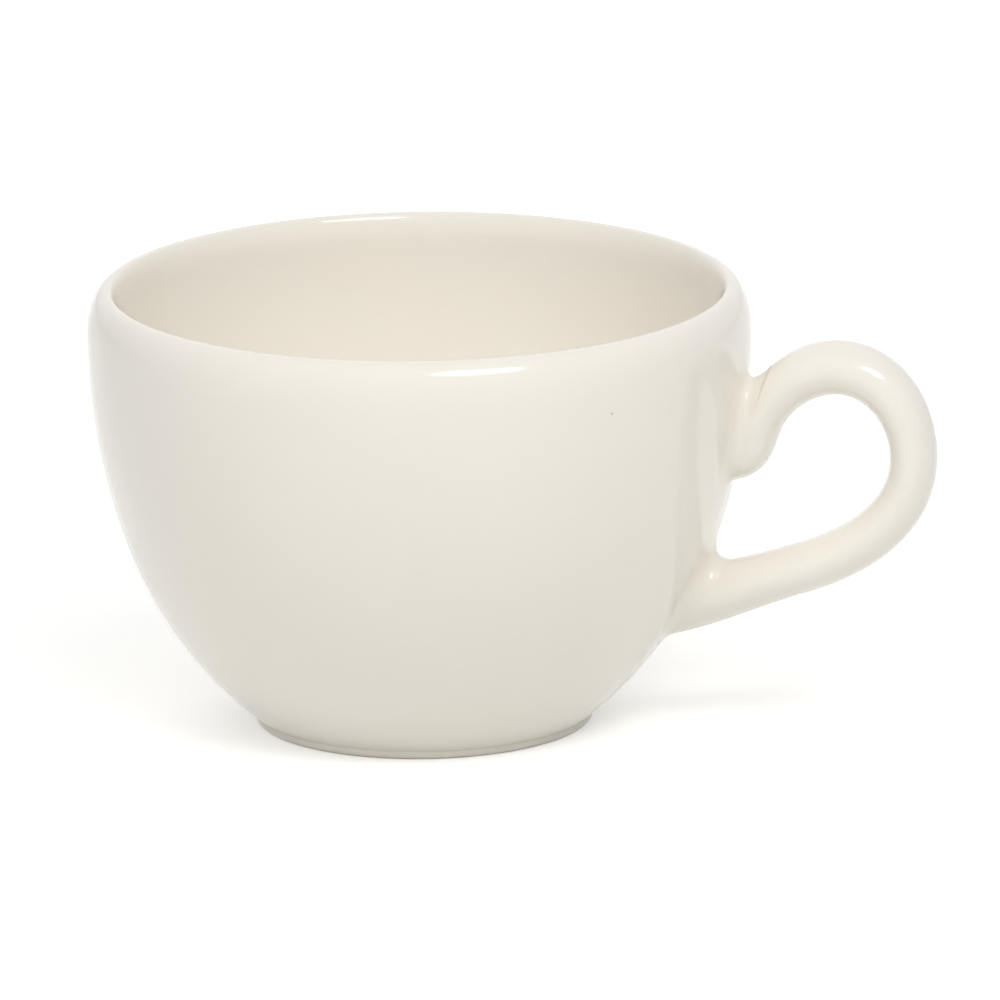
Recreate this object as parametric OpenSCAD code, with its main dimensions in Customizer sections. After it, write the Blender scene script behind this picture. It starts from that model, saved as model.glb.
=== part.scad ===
// Thick hotel-ware cup: a bowl with a rolled rim and a low foot ring, and a ring handle luted to its side.
// Millimetres. The bowl's axis is Z, the foot stands on z = 0 and the handle points along +X.

/* [Bowl] */
// Height of the cup, from the table to the top of the rim
cup_h = 63.8; // [60:0.1:70]
// Diameter of the bowl at its widest, just below the rim
cup_d = 95.2; // [90:0.1:102]
// Thickness of the wall below the rim
wall_high = 4.5; // [3.6:0.1:5.4]
// Thickness of the wall low down, where the bowl turns in to the foot
wall_low = 5.2; // [4:0.1:6.5]
// Thickness of the floor inside the foot ring
floor_t = 5.6; // [4:0.1:7]
// Slope at which the bowl leaves the foot ring, in degrees
belly_slope = 38; // [34:1:44]

/* [Rolled rim] */
// How far the roll curves in from the widest part to its top
roll_out = 3.1; // [2.4:0.1:3.5]
// How far the widest part lies below the top of the rim
roll_drop = 6.5; // [5:0.1:7.5]
// How far the inner side of the roll comes down before the wall runs straight
roll_in_drop = 4.5; // [3:0.1:6]

/* [Foot ring] */
// Outer diameter of the foot ring
foot_d = 48.6; // [45:0.1:53]
// Height of the crease where the foot ring meets the bowl
foot_h = 1.2; // [1:0.1:2.5]
// Width of the flat ring that the cup stands on
foot_w = 2.4; // [1.6:0.1:3.4]
// Depth of the hollow inside the foot ring
hollow_h = 2.0; // [1.4:0.1:3]
// Rounding of the edges of the foot ring
foot_round = 0.7; // [0.4:0.1:0.9]

/* [Handle] */
// How far the handle stands out past the widest part of the bowl
reach = 27.9; // [24:0.1:32]
// How far the top of the handle lies below the rim
crown_drop = 6.1; // [4:0.1:8]
// How far the underside of the upper root lies below the rim
thumb_drop = 26.5; // [24:0.1:28]
// Height of the underside of the lower root above the table
heel_h = 13.5; // [12:0.1:16]
// Thickness of the handle, seen from the side
grip_t = 6.9; // [6:0.1:8]
// Width of the handle across the hand
grip_w = 9.2; // [8:0.1:10.5]
// Thickness of the lower root, seen from the side
heel_t = 11.2; // [10:0.1:13]
// Width of the lower root
heel_w = 9.8; // [8:0.1:12]
// Slope at which the lower arm runs down to its root, in degrees
arm_slope = 18; // [14:1:22]

/* [Slip joints] */
// Thickness of the layer of slip between the handle and the bowl
slip_t = 0.4; // [0.2:0.1:0.8]
// Size of the rounded collar of slip along the upper side of each root
slip_high_r = 3.8; // [2:0.1:4.2]
// Size of the collar along the underside of each root
slip_low_r = 1.1; // [0.7:0.1:1.5]

/* [Hidden] */

// Smoothness: steps around a turned piece, along a curve, round the handle, along the handle and across a fillet
turn_steps = 120;
curve_steps = 28;
arc_steps = 8;
side_steps = 40;
grip_steps = 72;
fillet_steps = 5;
seat_steps = 3;
halvings = 18;

cup_r = cup_d / 2;
foot_r = foot_d / 2;
rim_r = cup_r - roll_out;
bore_r = cup_r - wall_high;
widest_z = cup_h - roll_drop;

// Curves shared by all the pieces: a cubic through four control points, its slope, and an eased step
function bezier(p, t) = pow(1 - t, 3) * p[0] + 3 * pow(1 - t, 2) * t * p[1]
    + 3 * (1 - t) * pow(t, 2) * p[2] + pow(t, 3) * p[3];
function bezier_slope(p, t) = pow(1 - t, 2) * (p[1] - p[0]) + 2 * (1 - t) * t * (p[2] - p[1])
    + pow(t, 2) * (p[3] - p[2]);
function unit(v) = v / norm(v);
function ease(t) = (1 - cos(180 * t)) / 2;
function mix(a, b, t) = a + (b - a) * t;

// A quarter of an oval round a centre, from one angle to another
function oval(centre, across, up, from, to) = [
    for (k = [0 : arc_steps]) centre + [across * cos(mix(from, to, k / arc_steps)),
                                        up * sin(mix(from, to, k / arc_steps))]
];

// Outer side of the bowl, from the crease at the foot up to the widest part
belly_low_share = 0.43;
belly_high_share = 0.215;
belly_span = norm([cup_r - foot_r, widest_z - foot_h]);
belly = [
    [foot_r, foot_h],
    [foot_r, foot_h] + belly_low_share * belly_span * [cos(belly_slope), sin(belly_slope)],
    [cup_r, widest_z - belly_high_share * belly_span],
    [cup_r, widest_z]
];
belly_line = [for (k = [0 : curve_steps]) bezier(belly, k / curve_steps)];

// Radius of the bowl's outer side at a height
belly_table = [for (p = belly_line) [p[1], p[0]]];
function wall_r(z) = lookup(z, belly_table);

// Inner side: the outer side moved in by the wall, down to where the floor's curve takes over
floor_start_share = 0.16;
floor_reach_share = 0.5;
floor_bend_share = 0.34;
function inner_point(t) = let (d = unit(bezier_slope(belly, t)))
    bezier(belly, t) + mix(wall_low, wall_high, ease(t)) * [-d[1], d[0]];
floor_edge = inner_point(floor_start_share);
floor_dir = unit(bezier_slope(belly, floor_start_share));
floor_z = hollow_h + floor_t;
floor_curve = [
    floor_edge,
    floor_edge - floor_bend_share * floor_edge[0] * floor_dir,
    [floor_reach_share * floor_edge[0], floor_z],
    [0, floor_z]
];
inner_line = [for (k = [curve_steps : -1 : 0]) inner_point(mix(floor_start_share, 1, k / curve_steps))];
floor_line = [for (k = [1 : arc_steps]) bezier(floor_curve, k / arc_steps)];

// Foot ring: flat underneath, rounded at both edges, with a shallow hollow inside
foot_in_r = foot_r - foot_w - 2 * foot_round;
hollow_round = hollow_h - foot_round;
foot_line = concat(
    [[0, hollow_h]],
    oval([foot_in_r - hollow_round, foot_round], hollow_round, hollow_round, 90, 0),
    oval([foot_in_r + foot_round, foot_round], foot_round, foot_round, 180, 270),
    oval([foot_r - foot_round, foot_round], foot_round, foot_round, 270, 360)
);
rim_line = concat(
    oval([rim_r, widest_z], roll_out, roll_drop, 0, 90),
    oval([rim_r, cup_h - roll_in_drop], rim_r - bore_r, roll_in_drop, 90, 180)
);

module bowl() {
    color("#ece6da")
    rotate_extrude($fn = turn_steps)
    polygon(concat(foot_line, belly_line, rim_line, inner_line, floor_line));
}

// The handle's spine lies in the plane y = 0, as [distance from the axis, height]. It starts inside the wall
// at the upper root, climbs over the crown, turns down at the bend and runs along the arm to the heel.
neck_slope = 67;
root_sink_share = 0.4;
neck_out_share = 0.4;
neck_up_share = 0.4;
crown_out_share = 0.49;
bend_up_share = 0.64;
arm_out_share = 0.32;
thumb_z = cup_h - thumb_drop + grip_t / 2;
crown_z = cup_h - crown_drop - grip_t / 2;
heel_z = heel_h + heel_t / 2;
neck_z = mix(thumb_z, crown_z, neck_up_share);
bend_r = cup_r + reach - grip_t / 2;
arm_r = mix(cup_r, bend_r, arm_out_share);
thumb = [wall_r(thumb_z) - root_sink_share * grip_t, thumb_z];
neck = [wall_r(neck_z) + neck_out_share * grip_t, neck_z];
crown = [cup_r + crown_out_share * reach, crown_z];
bend = [bend_r, mix(heel_z, crown_z, bend_up_share)];
arm = [arm_r, heel_z + tan(arm_slope) * (arm_r - wall_r(heel_z))];
heel = [wall_r(heel_z) - root_sink_share * heel_t, heel_z];
neck_dir = [cos(neck_slope), sin(neck_slope)];
arm_dir = [cos(arm_slope), sin(arm_slope)];

// How far each end of a stretch of the spine runs on along its own direction
thumb_pull_shares = [0.72, 0.69];
neck_pull_shares = [0.31, 0.45];
crown_pull_shares = [0.57, 0.54];
bend_pull_shares = [0.46, 0.65];
arm_pull_shares = [0.36, 0.32];
legs = [
    [thumb, thumb + thumb_pull_shares[0] * grip_t * [1, 0], neck - thumb_pull_shares[1] * grip_t * neck_dir, neck],
    [neck, neck + neck_pull_shares[0] * norm(crown - neck) * neck_dir,
        crown - neck_pull_shares[1] * (crown[0] - neck[0]) * [1, 0], crown],
    [crown, crown + crown_pull_shares[0] * (bend[0] - crown[0]) * [1, 0],
        bend + crown_pull_shares[1] * (crown[1] - bend[1]) * [0, 1], bend],
    [bend, bend - bend_pull_shares[0] * (bend[1] - arm[1]) * [0, 1],
        arm + bend_pull_shares[1] * (bend[0] - arm[0]) * arm_dir, arm],
    [arm, arm - arm_pull_shares[0] * norm(arm - heel) * arm_dir,
        heel + arm_pull_shares[1] * (arm[0] - heel[0]) * [1, 0], heel]
];

// Thickness and width of the handle at the ends of those stretches
grip_t_shares = [1.07, 0.99, 1.12, 0.98, 1.04];
grip_w_shares = [1, 1, 1, 1, 1.04];
tube_t = concat(grip_t * grip_t_shares, [heel_t]);
tube_w = concat(grip_w * grip_w_shares, [heel_w]);
crown_s = 2;
arm_s = 4;
heel_s = 5;

// The heel's flare starts late on its stretch, and the other changes are eased at both ends
flare_power = 2;
function leg_of(s) = min(floor(s), len(legs) - 1);
function along(list, s) = let (i = leg_of(s), t = s - i)
    mix(list[i], list[i + 1], i == len(legs) - 1 ? pow(t, flare_power) : ease(t));

// A point of the handle's skin: how far along the spine, and the angle round it from the outer side
function skin(s, a) = let (
    i = leg_of(s),
    c = bezier(legs[i], s - i),
    d = unit(bezier_slope(legs[i], s - i)),
    up = along(tube_t, s) / 2 * cos(a),
    across = along(tube_w, s) / 2 * sin(a)
) [c[0] - d[1] * up, across, c[1] + d[0] * up];

// Height of a point above the bowl's wall, and the point moved straight in or out to a height above it
function gap(p) = norm([p[0], p[1]]) - wall_r(p[2]);
function onto_wall(p, h) = let (f = (wall_r(p[2]) + h) / norm([p[0], p[1]])) [f * p[0], f * p[1], p[2]];

// Where the line of skin at an angle comes to a height above the wall, between a place inside and one outside
function meet(a, inside, outside, h, n = halvings) = let (m = (inside + outside) / 2)
    n == 0 ? m
    : gap(skin(m, a)) > h ? meet(a, inside, m, h, n - 1)
    : meet(a, m, outside, h, n - 1);

angles = [for (j = [0 : side_steps - 1]) 360 * j / side_steps];
thumb_seat = [for (a = angles) skin(meet(a, 0, crown_s, slip_t), a)];
heel_seat = [for (a = angles) skin(meet(a, heel_s, arm_s, slip_t), a)];

// Slip pools on the upper side of a root, which is at angle 0 on the thumb and at 180 on the heel. A collar
// stands this far off the wall on the handle's skin, and reaches this share of that along the wall.
thumb_top = 0;
heel_top = 180;
slip_reach_share = 1.5;
function slip_r(a, top) = mix(slip_low_r, slip_high_r, (1 + cos(a - top)) / 2);
thumb_rise = [for (a = angles) meet(a, 0, crown_s, slip_r(a, thumb_top))];
heel_rise = [for (a = angles) meet(a, heel_s, arm_s, slip_r(a, heel_top))];
function grip_ring(t) = [for (j = [0 : side_steps - 1]) skin(mix(thumb_rise[j], heel_rise[j], t), angles[j])];

// A seat: rings that close a root on the wall, from near its middle out to its edge
function middle(ring) = (ring[0] + ring[len(ring) / 2]) / 2;
function seat_middle(ring, h) = onto_wall(middle(ring), h);
function seat_rings(ring, h) = [
    for (k = [1 : seat_steps - 1]) [for (p = ring) onto_wall(mix(middle(ring), p, k / seat_steps), h)]
];
function reversed(list) = [for (k = [len(list) - 1 : -1 : 0]) list[k]];

// A closed skin over rings of points, from a first point to a last one
module skinned(first, rings, last, inside_out = false) {
    n = len(rings[0]);
    points = concat([first], [for (ring = rings) for (p = ring) p], [last]);
    end = len(points) - 1;
    faces = concat(
        [for (j = [0 : n - 1]) [0, 1 + (j + 1) % n, 1 + j]],
        [for (i = [0 : len(rings) - 2], j = [0 : n - 1], half = [0, 1])
            let (a = 1 + i * n + j, b = 1 + i * n + (j + 1) % n) half == 0 ? [a, b, b + n] : [a, b + n, a + n]],
        [for (j = [0 : n - 1]) [end, end - n + j, end - n + (j + 1) % n]]
    );
    polyhedron(points, inside_out ? [for (f = faces) reversed(f)] : faces);
}

module handle() {
    color("#ebe5d9")
    skinned(
        seat_middle(thumb_seat, slip_t),
        concat(
            seat_rings(thumb_seat, slip_t),
            [thumb_seat],
            [for (k = [0 : grip_steps]) grip_ring(k / grip_steps)],
            [heel_seat],
            reversed(seat_rings(heel_seat, slip_t))
        ),
        seat_middle(heel_seat, slip_t)
    );
}

// Edge of a collar of slip: the seat's edge moved out along the wall
function spread(ring, j, top) = let (
    n = len(ring),
    p = onto_wall(ring[j], 0),
    v = unit(cross(ring[(j + 1) % n] - ring[(j + n - 1) % n], [p[0], p[1], 0]))
) onto_wall(p + slip_reach_share * slip_r(angles[j], top) * (v * (p - middle(ring)) < 0 ? -v : v), 0);

// A slip joint: a thin layer under the root and a hollow fillet that sweeps from the handle onto the wall
module slip_joint(seat, collar, top, inside_out) {
    n = len(seat);
    edge = [for (j = [0 : n - 1]) spread(seat, j, top)];
    skinned(
        seat_middle(seat, slip_t),
        concat(
            seat_rings(seat, slip_t),
            [seat],
            [for (k = [0 : fillet_steps]) let (t = k / fillet_steps) [
                for (j = [0 : n - 1])
                    pow(1 - t, 2) * collar[j] + 2 * t * (1 - t) * onto_wall(seat[j], 0) + pow(t, 2) * edge[j]
            ]],
            reversed(seat_rings(edge, 0))
        ),
        seat_middle(edge, 0),
        inside_out
    );
}

module upper_slip_joint() {
    color("#e4ddcf")
    slip_joint(thumb_seat, grip_ring(0), thumb_top, true);
}

module lower_slip_joint() {
    color("#e4ddcf")
    slip_joint(heel_seat, grip_ring(1), heel_top, false);
}

bowl();
handle();
upper_slip_joint();
lower_slip_joint();
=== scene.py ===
# %% [markdown]
# # A thick hotel-ware cup
# The real cup is white clay that was pressed in a turning mould, with a handle stuck on with slip,
# which is clay thinned with water. It was then covered with a clear glaze and fired. The packed
# model holds the bowl, the handle and the two slip joints at their real size. This lesson gives
# them smooth skins and their glaze.

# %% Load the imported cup
import math

import bpy
from mathutils import Matrix, Vector


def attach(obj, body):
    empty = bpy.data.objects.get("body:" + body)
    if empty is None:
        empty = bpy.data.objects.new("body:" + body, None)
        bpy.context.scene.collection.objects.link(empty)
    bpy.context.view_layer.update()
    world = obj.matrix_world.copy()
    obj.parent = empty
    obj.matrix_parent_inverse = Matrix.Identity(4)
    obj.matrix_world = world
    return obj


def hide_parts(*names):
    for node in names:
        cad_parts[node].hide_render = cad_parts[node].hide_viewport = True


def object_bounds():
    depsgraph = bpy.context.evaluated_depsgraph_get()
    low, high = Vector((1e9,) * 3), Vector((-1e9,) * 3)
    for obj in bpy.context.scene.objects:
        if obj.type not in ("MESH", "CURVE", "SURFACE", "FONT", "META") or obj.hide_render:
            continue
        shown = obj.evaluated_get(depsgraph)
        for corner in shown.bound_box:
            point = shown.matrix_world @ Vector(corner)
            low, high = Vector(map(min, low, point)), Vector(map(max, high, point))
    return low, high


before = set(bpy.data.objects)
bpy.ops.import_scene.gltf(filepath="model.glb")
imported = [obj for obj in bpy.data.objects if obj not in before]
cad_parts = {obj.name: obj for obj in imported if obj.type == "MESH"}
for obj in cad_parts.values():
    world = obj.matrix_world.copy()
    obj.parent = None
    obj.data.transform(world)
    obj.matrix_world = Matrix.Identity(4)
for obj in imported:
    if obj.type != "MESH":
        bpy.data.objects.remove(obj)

mm = 0.001
cad_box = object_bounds()
cad_size = [round((high - low) / mm, 1) for low, high in zip(*cad_box)]
print("the packed cup is", cad_size, "mm, in the pieces", sorted(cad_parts))

# %% [markdown]
# ## The camera
# A long lens from far away keeps the rim's ellipse and the foot's almost alike, as in a product
# photograph. The numbers come from matching the cup's outline: the camera looks down by 14.6
# degrees, and the handle is turned 12.5 degrees towards it. Three turns about known axes are
# easier to read than one matrix of sines.

# %% Place the camera
turn, tilt, roll = math.radians(12.5), math.radians(14.585), math.radians(-0.726)
camera_far = 2500 * mm
aim_out, aim_up = 11.26 * mm, 31.89 * mm  # what the camera looks at: how far out and how high
aim = Vector((aim_out * math.cos(turn), aim_out * math.sin(turn), aim_up))
facing = (Matrix.Rotation(turn, 3, "Z") @ Matrix.Rotation(math.pi / 2 - tilt, 3, "X")
          @ Matrix.Rotation(roll, 3, "Z"))

bpy.ops.object.camera_add(location=aim + camera_far * facing.col[2])
camera = bpy.context.object
camera.rotation_euler = facing.to_euler()
camera.data.sensor_width = 36
camera.data.lens = 626.7
bpy.context.scene.camera = camera
print("the camera stands", [round(c, 3) for c in camera.location], "m from the middle of the foot")

# %% [markdown]
# ## The bowl's skin
# A jigger turns the clay while a template shapes its section, so the bowl is one section swept
# round an axis. The section could be drawn as many short lines, but a Bezier curve needs few
# points and has no corners in it, and gloss shows every corner. Each point has its radius and
# height and the handles of its curve, all in millimetres. The curve is turned to a mesh and spun
# about the axis.

# %% Draw the bowl's section
section = [
    # radius, height, handle before it, handle after it
    (0, 2.0, (0, 0), (6, 0)),                      # middle of the hollow under the foot
    (19.2, 2.0, (-6, 0), (0.72, 0)),               # edge of the hollow
    (20.5, 0.7, (0, 0.72), (0, -0.39)),            # inner side of the foot ring
    (21.2, 0, (-0.39, 0), (0.8, 0)),               # the flat that the cup stands on
    (23.6, 0, (-0.8, 0), (0.39, 0)),
    (24.3, 0.7, (0, -0.39), (0, 0.17)),            # outer side of the foot ring
    (24.3, 1.2, (0, -0.17), (20.58, 16.08)),       # crease where the belly starts
    (47.6, 57.3, (0, -13.06), (0, 3.59)),          # widest part
    (44.5, 63.8, (1.71, 0), (-0.77, 0)),           # top of the roll
    (43.1, 59.3, (0, 2.49), (0, -0.7)),            # inner side of the roll
    (43.1, 57.3, (0, 0.7), (0, -15.65)),           # the inner wall starts
    (28.85, 12.89, (9.87, 12.24), (-6.15, -7.64)),  # turn of the wall into the floor
    (0, 7.6, (14.43, 0), (0, 0)),                  # middle of the floor
]
bpy.ops.object.select_all(action="DESELECT")
bpy.ops.curve.primitive_bezier_curve_add(location=(0, 0, 0))
drawn = bpy.context.object
spline = drawn.data.splines[0]
spline.bezier_points.add(len(section) - 2)  # the new curve has two points already
for point, (radius, height, before, after) in zip(spline.bezier_points, section):
    point.handle_left_type = point.handle_right_type = "FREE"
    point.co = (radius * mm, 0, height * mm)
    point.handle_left = point.co + Vector((before[0], 0, before[1])) * mm
    point.handle_right = point.co + Vector((after[0], 0, after[1])) * mm
drawn.data.dimensions = "3D"
drawn.data.resolution_u = 16
bpy.ops.object.convert(target="MESH")
bowl = bpy.context.object
print("the section has", len(bowl.data.vertices), "points")

# %% Spin the section into the bowl
turn_steps = 256
weld = 0.002 * mm                # points closer than this become one
bowl_corner = math.radians(40)   # an edge that turns more than this stays sharp
bpy.ops.object.mode_set(mode="EDIT")
bpy.ops.mesh.select_all(action="SELECT")
bpy.ops.mesh.spin(steps=turn_steps, angle=2 * math.pi, center=(0, 0, 0), axis=(0, 0, 1))
bpy.ops.mesh.select_all(action="SELECT")
bpy.ops.mesh.remove_doubles(threshold=weld)
bpy.ops.mesh.normals_make_consistent(inside=False)
bpy.ops.object.mode_set(mode="OBJECT")
bowl.name = bowl.data.name = "bowl_glazed"
bpy.ops.object.shade_smooth_by_angle(angle=bowl_corner)
print("the bowl's skin has", len(bowl.data.polygons), "faces")

# %% [markdown]
# ## The skins of the handle and the slip joints
# The handle is a rod of clay, bent while soft and cut to sit on the curved wall. Those cuts are
# saddles, and so are the fillets of slip around them. They could be modelled again with a curve
# and a boolean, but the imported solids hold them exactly. So a copy of each is merged into one
# surface, its triangles are paired into quads again, and Subdivision Surface rounds the small
# flats away.

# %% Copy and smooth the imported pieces
quad_limit = math.radians(60)    # how far a pair of triangles may be from a flat, square quad
seat_corner = math.radians(50)   # an edge that turns more than this stays sharp

def smooth_copy(node, levels):
    bpy.ops.object.select_all(action="DESELECT")
    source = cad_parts[node]
    piece = bpy.data.objects.new(node + "_glazed", source.data.copy())
    bpy.context.collection.objects.link(piece)
    piece.data.name = piece.name
    piece.data.materials.clear()
    piece.select_set(True)
    bpy.context.view_layer.objects.active = piece
    bpy.ops.object.mode_set(mode="EDIT")
    bpy.ops.mesh.select_all(action="SELECT")
    bpy.ops.mesh.customdata_custom_splitnormals_clear()
    bpy.ops.mesh.remove_doubles(threshold=weld)
    bpy.ops.mesh.tris_convert_to_quads(face_threshold=quad_limit, shape_threshold=quad_limit)
    bpy.ops.mesh.select_mode(type="EDGE")
    bpy.ops.mesh.mark_sharp(clear=True)
    bpy.ops.mesh.select_all(action="DESELECT")
    bpy.ops.mesh.edges_select_sharp(sharpness=seat_corner)
    bpy.ops.transform.edge_crease(value=1)
    bpy.ops.object.mode_set(mode="OBJECT")
    smoother = piece.modifiers.new("round the flats", "SUBSURF")
    smoother.levels = smoother.render_levels = levels
    bpy.ops.object.modifier_apply(modifier=smoother.name)
    bpy.ops.object.shade_smooth_by_angle(angle=seat_corner)
    print(piece.name, "has", len(piece.data.polygons), "faces")
    return piece

handle = smooth_copy("handle", 1)
upper_joint = smooth_copy("upper_slip_joint", 2)
lower_joint = smooth_copy("lower_slip_joint", 2)

# %% [markdown]
# ## Colours and nodes
# A colour picked from a screen is stored in sRGB, and shaders add light in linear values, so one
# function turns the first into the second. Another adds one node with its settings and its links,
# so that each material below reads as a list of nodes. Where a node has several sockets of one
# name, as Math and Mix nodes do, a socket is called by its number.

# %% Helpers for materials
share, start, end, mixed = 0, 6, 7, 2  # a colour Mix node's factor, its two colours and its result

def linear(hex_colour):
    parts = [int(hex_colour[i:i + 2], 16) / 255 for i in (1, 3, 5)]
    return [p / 12.92 if p <= 0.04045 else ((p + 0.055) / 1.055) ** 2.4 for p in parts] + [1]

def add(tree, kind, inputs=None, **settings):
    node = tree.nodes.new(kind)
    for name, value in settings.items():
        setattr(node, name, value)
    for name, value in (inputs or {}).items():
        if isinstance(value, bpy.types.NodeSocket):
            tree.links.new(value, node.inputs[name])
        else:
            node.inputs[name].default_value = value
    return node

def new_material(name):
    material = bpy.data.materials.new(name)
    material.use_nodes = True
    material.node_tree.nodes.clear()
    return material, material.node_tree

# %% [markdown]
# ## Glazed china
# Vitrified china is a dense cream body under a fifth of a millimetre of clear glass. The eye gets
# a warm colour that is hardly even, a mirror-like skin with the index of glass and soft edges to
# its reflections, and slow waves where the glaze ran. Here and there the body shows a speck of
# iron. The glaze is wiped off the flat of the foot, so that the cup doesn't stick to the kiln, and
# the body shows there dry and dull. A picture could carry all this, but noise in real millimetres
# needs no unwrapping and has no seams.

# %% The tint of the body
cloud_width = 30 * mm                    # in the clouds the body is a trace warmer
speck_cell = 9 * mm                      # one cell holds one iron speck or none
speck_core, speck_rim = 0.012, 0.022     # in cells: a dot 0.3 mm wide, a little larger than real
clean_cells, speck_depth = 0.6, 0.35     # two in five cells hold a speck, and it is faint

def tint(tree, place, body, shade, speck_colour):
    clouds = add(tree, "ShaderNodeTexNoise", {"Vector": place, "Scale": 1 / cloud_width,
                                              "Detail": 3.0})
    tone = add(tree, "ShaderNodeMix", {share: clouds.outputs["Fac"], start: linear(body),
                                       end: linear(shade)}, data_type="RGBA")
    cells = add(tree, "ShaderNodeTexVoronoi", {"Vector": place, "Scale": 1 / speck_cell})
    near = add(tree, "ShaderNodeMapRange", {"Value": cells.outputs["Distance"],
                                            "From Min": speck_core, "From Max": speck_rim,
                                            "To Min": 1.0, "To Max": 0.0})
    lot = add(tree, "ShaderNodeSeparateColor", {"Color": cells.outputs["Color"]})
    rare = add(tree, "ShaderNodeMath", {0: lot.outputs["Red"], 1: clean_cells},
               operation="GREATER_THAN")
    speck = add(tree, "ShaderNodeMath", {0: near.outputs["Result"], 1: rare.outputs["Value"]},
                operation="MULTIPLY")
    faint = add(tree, "ShaderNodeMath", {0: speck.outputs["Value"], 1: speck_depth},
                operation="MULTIPLY")
    return add(tree, "ShaderNodeMix", {share: faint.outputs["Value"], start: tone.outputs[mixed],
                                       end: linear(speck_colour)}, data_type="RGBA").outputs[mixed]

# %% The waves in the glaze
wave_apart, wave_high = 12 * mm, 0.04 * mm     # slow waves, where the glaze ran
peel_apart, peel_high = 1.5 * mm, 0.001 * mm   # a fine orange peel on them

def glaze_waves(tree, place):
    waves = add(tree, "ShaderNodeTexNoise", {"Vector": place, "Scale": 1 / wave_apart,
                                             "Detail": 0.0})
    slow = add(tree, "ShaderNodeBump", {"Height": waves.outputs["Fac"], "Strength": 1.0,
                                        "Distance": wave_high})
    peel = add(tree, "ShaderNodeTexNoise", {"Vector": place, "Scale": 1 / peel_apart,
                                            "Detail": 1.0})
    both = add(tree, "ShaderNodeBump", {"Height": peel.outputs["Fac"], "Strength": 1.0,
                                        "Distance": peel_high, "Normal": slow.outputs["Normal"]})
    return both.outputs["Normal"]

# %% Colour the glazed china
china, tree = new_material("glazed_vitrified_china")
place = add(tree, "ShaderNodeTexCoord").outputs["Object"]
colour = tint(tree, place, "#F5F1E8", "#F3EDE3", "#6E6252")
height = add(tree, "ShaderNodeSeparateXYZ", {"Vector": place}).outputs["Z"]

# painted shade: the colour is a trace darker at the crease above the foot and on the foot ring
# below it, fading out by 3.5 mm up
crease_low, crease_high = 1.2 * mm, 3.5 * mm
painted_crease_shade = add(tree, "ShaderNodeMapRange", {"Value": height, "From Min": crease_low,
                                            "From Max": crease_high, "To Min": 0.12,
                                            "To Max": 0.0}, interpolation_type="SMOOTHSTEP")
colour = add(tree, "ShaderNodeMix", {share: painted_crease_shade.outputs["Result"], start: colour,
                                     end: linear("#DED5C4")}, data_type="RGBA").outputs[mixed]

# a pinhole in the glaze, 0.4 mm wide, near the rim
pin_place = (35 * mm, -32.2 * mm, 54.4 * mm)
pin_core, pin_rim = 0.12 * mm, 0.3 * mm
pin = add(tree, "ShaderNodeVectorMath", {0: place, 1: pin_place}, operation="DISTANCE")
hole = add(tree, "ShaderNodeMapRange", {"Value": pin.outputs["Value"], "From Min": pin_core,
                                        "From Max": pin_rim, "To Min": 0.4, "To Max": 0.0})
colour = add(tree, "ShaderNodeMix", {share: hole.outputs["Result"], start: colour,
                                     end: linear("#8C8270")}, data_type="RGBA").outputs[mixed]
print("the china's colour takes", len(tree.nodes), "nodes")

# %% Wipe the foot and finish the glazed china
# the glaze ends in a wavy line about 0.25 mm up: the noise adds some 0.15 mm to the height, and
# the sum crosses the band there
wipe_width, wipe_wave = 5 * mm, 0.3 * mm
band_low, band_high = 0.35 * mm, 0.45 * mm
edge = add(tree, "ShaderNodeTexNoise", {"Vector": place, "Scale": 1 / wipe_width})
wavy = add(tree, "ShaderNodeMath", {0: edge.outputs["Fac"], 1: wipe_wave, 2: height},
           operation="MULTIPLY_ADD")
bare = add(tree, "ShaderNodeMapRange", {"Value": wavy.outputs["Value"], "From Min": band_low,
                                        "From Max": band_high, "To Min": 1.0,
                                        "To Max": 0.0}).outputs["Result"]
colour = add(tree, "ShaderNodeMix", {share: bare, start: colour, end: linear("#D6CBB7")},
             data_type="RGBA").outputs[mixed]
glazed_roughness, bare_roughness, slip_roughness = 0.09, 0.7, 0.08
dullness = add(tree, "ShaderNodeMapRange", {"Value": bare, "To Min": glazed_roughness,
                                            "To Max": bare_roughness})

# the body's grain shows only where it is bare
grain_width, grain_high = 0.3 * mm, 0.03 * mm
grain = add(tree, "ShaderNodeTexNoise", {"Vector": place, "Scale": 1 / grain_width, "Detail": 2.0})
rough = add(tree, "ShaderNodeMath", {0: grain.outputs["Fac"], 1: bare}, operation="MULTIPLY")
surface = add(tree, "ShaderNodeBump", {"Height": rough.outputs["Value"], "Strength": 1.0,
                                       "Distance": grain_high,
                                       "Normal": glaze_waves(tree, place)})
glass_index = 1.52
shader = add(tree, "ShaderNodeBsdfPrincipled", {"Base Color": colour,
                                                "Roughness": dullness.outputs["Result"],
                                                "IOR": glass_index,
                                                "Normal": surface.outputs["Normal"]})
add(tree, "ShaderNodeOutputMaterial", {"Surface": shader.outputs["BSDF"]})
print(china.name, "has", len(tree.nodes), "nodes")
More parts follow.
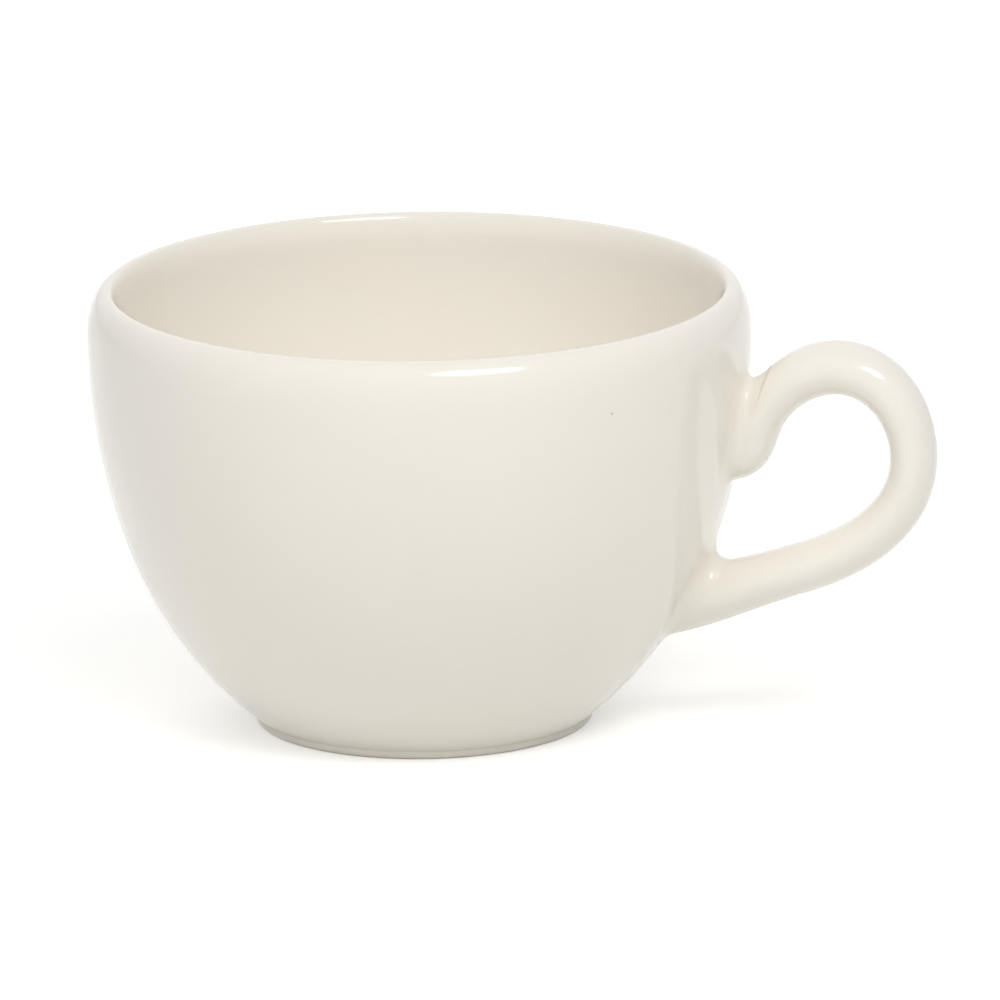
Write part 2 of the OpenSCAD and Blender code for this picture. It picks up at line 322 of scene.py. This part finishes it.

# %% [markdown]
# ## Glazed slip
# Slip is the same clay, thinned. Fired under the same glaze it can hardly be told from the body,
# so it is given a colour only a trace darker and a glaze a trace wetter than the rest.

# %% Make the glazed slip and dress the pieces
slip, tree = new_material("glazed_slip")
place = add(tree, "ShaderNodeTexCoord").outputs["Object"]
# a trace darker than the china's colour
colour = tint(tree, place, "#F4EFE5", "#F2ECE0", "#6E6252")
shader = add(tree, "ShaderNodeBsdfPrincipled", {"Base Color": colour, "Roughness": slip_roughness,
                                                "IOR": glass_index,
                                                "Normal": glaze_waves(tree, place)})
add(tree, "ShaderNodeOutputMaterial", {"Surface": shader.outputs["BSDF"]})
for piece, material in ((bowl, china), (handle, china), (upper_joint, slip), (lower_joint, slip)):
    piece.data.materials.append(material)
    print(piece.name, "is", material.name)
for name, cad_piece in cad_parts.items():
    cad_piece.data.materials.clear()
    cad_piece.data.materials.append(slip if "slip" in name else china)

# %% [markdown]
# ## Table, room and lamps
# The cup stands on a white table in a white room, so its cream reads as cream. A room that lit the
# cup as brightly as it looks would flatten it, so Light Path tells the rays apart: what the camera
# sees, straight or in the glaze, is white, and the light that falls on the cup is less. Soft boxes
# give the rest. Three of them hang high, because light from there goes over the rim and into the
# cup as well.

# %% Tell looking from lighting
def looked_at(tree):
    path = add(tree, "ShaderNodeLightPath")
    either = add(tree, "ShaderNodeMath", {0: path.outputs["Is Camera Ray"],
                                          1: path.outputs["Is Glossy Ray"]}, operation="MAXIMUM")
    return add(tree, "ShaderNodeMath", {0: either.outputs["Value"],
                                        1: path.outputs["Is Transmission Ray"]},
               operation="MAXIMUM").outputs["Value"]

# %% Lay the table
table_radius = 6
table_glow = 0.4  # makes the paper look white and lights nothing
bpy.ops.mesh.primitive_circle_add(vertices=128, radius=table_radius, fill_type="NGON",
                                  location=(0, 0, 0))
table = bpy.context.object
table.name = "table"
paper, tree = new_material("white_paper")
lift = add(tree, "ShaderNodeMath", {0: looked_at(tree), 1: table_glow}, operation="MULTIPLY")
diffuse = add(tree, "ShaderNodeBsdfDiffuse", {"Color": linear("#F0F0EE")})
glow = add(tree, "ShaderNodeEmission", {"Strength": lift.outputs["Value"]})
both = add(tree, "ShaderNodeAddShader", {0: diffuse.outputs["BSDF"], 1: glow.outputs["Emission"]})
add(tree, "ShaderNodeOutputMaterial", {"Surface": both.outputs["Shader"]})
table.data.materials.append(paper)
print("the table is", round(table.dimensions.x, 1), "m across, of", paper.name)

# %% Paint the room
room_level = 0.38
room = bpy.data.worlds.new("white_room")
bpy.context.scene.world = room
room.use_nodes = True
tree = room.node_tree
tree.nodes.clear()
level = add(tree, "ShaderNodeMapRange", {"Value": looked_at(tree), "To Min": room_level,
                                         "To Max": 1.0})
sky = add(tree, "ShaderNodeBackground", {"Color": linear("#FFFFFF"),
                                         "Strength": level.outputs["Result"]})
add(tree, "ShaderNodeOutputWorld", {"Surface": sky.outputs["Background"]})
print("the room looks white and lights the cup at", room_level, "of that")

# %% [markdown]
# The cup's marks of light say where the lamps hung. The bright one along the front of the roll
# comes from a box above the camera and to its right. A long narrow box at the left is so dim that
# the white room around it all but hides its mark. The other lamps only fill, so their own
# reflections are switched off.

# %% Hang the lamps
def towards(right, rise):
    """The way to a lamp so many degrees to the right of the camera and above the table."""
    angle, lift = turn + math.radians(right), math.radians(rise)
    return Vector((math.sin(angle) * math.cos(lift), -math.cos(angle) * math.cos(lift),
                   math.sin(lift)))

def soft_box(name, right, rise, far, wide, tall, watts):
    """An oval lamp, aimed at the middle of the cup."""
    way, middle = towards(right, rise), Vector((0, 0, 45 * mm))
    bpy.ops.object.light_add(type="AREA", location=middle + far * way)
    lamp = bpy.context.object
    lamp.name = name
    lamp.rotation_euler = way.to_track_quat("Z", "Y").to_euler()
    lamp.data.shape = "ELLIPSE"
    lamp.data.size, lamp.data.size_y = wide, tall
    lamp.data.energy = watts
    facing_share = watts / (math.pi * far) ** 2
    print(name, "gives a surface that faces it", round(facing_share, 3), "of white")
    return lamp

soft_box("main_soft_box", right=25, rise=46.5, far=1.2, wide=0.6, tall=0.34, watts=3.2)
soft_box("left_strip", right=-58, rise=7, far=1.2, wide=0.34, tall=0.03, watts=0.05)
fill_far = 1.5
for name, right, rise, wide, tall, watts in (("high_left_box", -32, 60, 1.0, 0.7, 2.6),
                                             ("high_right_box", 32, 60, 1.0, 0.7, 2.9),
                                             ("low_left_box", -35, 26, 1.3, 0.9, 2.8),
                                             ("low_right_box", 25, 26, 1.3, 0.9, 1.0),
                                             ("back_box", 180, 35, 1.3, 0.9, 4.5)):
    soft_box(name, right, rise, fill_far, wide, tall, watts).visible_glossy = False

# %% [markdown]
# Little of that light gets down into the cup, and what does comes back warmer, since cream clay
# has coloured it more than once. A photographer holds snoots over such a cup, lamps with a tube
# that keeps their light on the inside and off the rim. Here they are two spot lamps whose cones
# end within the mouth, and each lights the part of the wall across from it.

# %% Shine two snoots into the cup
snoot_far, snoot_reach, snoot_watts = 1.5, 35 * mm, 6.5
snoot_cone = 2 * math.atan(snoot_reach / snoot_far)
mouth = Vector((0, 0, 58 * mm))
for name, right in (("right_snoot", 40), ("left_snoot", -40)):
    way = towards(right, rise=54)
    bpy.ops.object.light_add(type="SPOT", location=mouth + snoot_far * way)
    snoot = bpy.context.object
    snoot.name = name
    snoot.rotation_euler = way.to_track_quat("Z", "Y").to_euler()
    snoot.data.spot_size = snoot_cone
    snoot.data.spot_blend = 0.6
    snoot.data.shadow_soft_size = 10 * mm
    snoot.data.energy = snoot_watts
    snoot.visible_glossy = False
    print(name, "has a cone", round(math.degrees(snoot_cone), 1), "degrees wide")

# %% [markdown]
# ## Attach the pieces
# Each new skin stands for one imported solid and moves with the cup's only body.

# %% Attach each skin to the body and hide the solid it stands for
for piece, node, finish in ((bowl, "bowl", "glazed_china"), (handle, "handle", "glazed_china"),
                            (upper_joint, "upper_slip_joint", "glazed_slip"),
                            (lower_joint, "lower_slip_joint", "glazed_slip")):
    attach(piece, "root")
    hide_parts(node)

bpy.context.scene.view_settings.view_transform = "Standard"
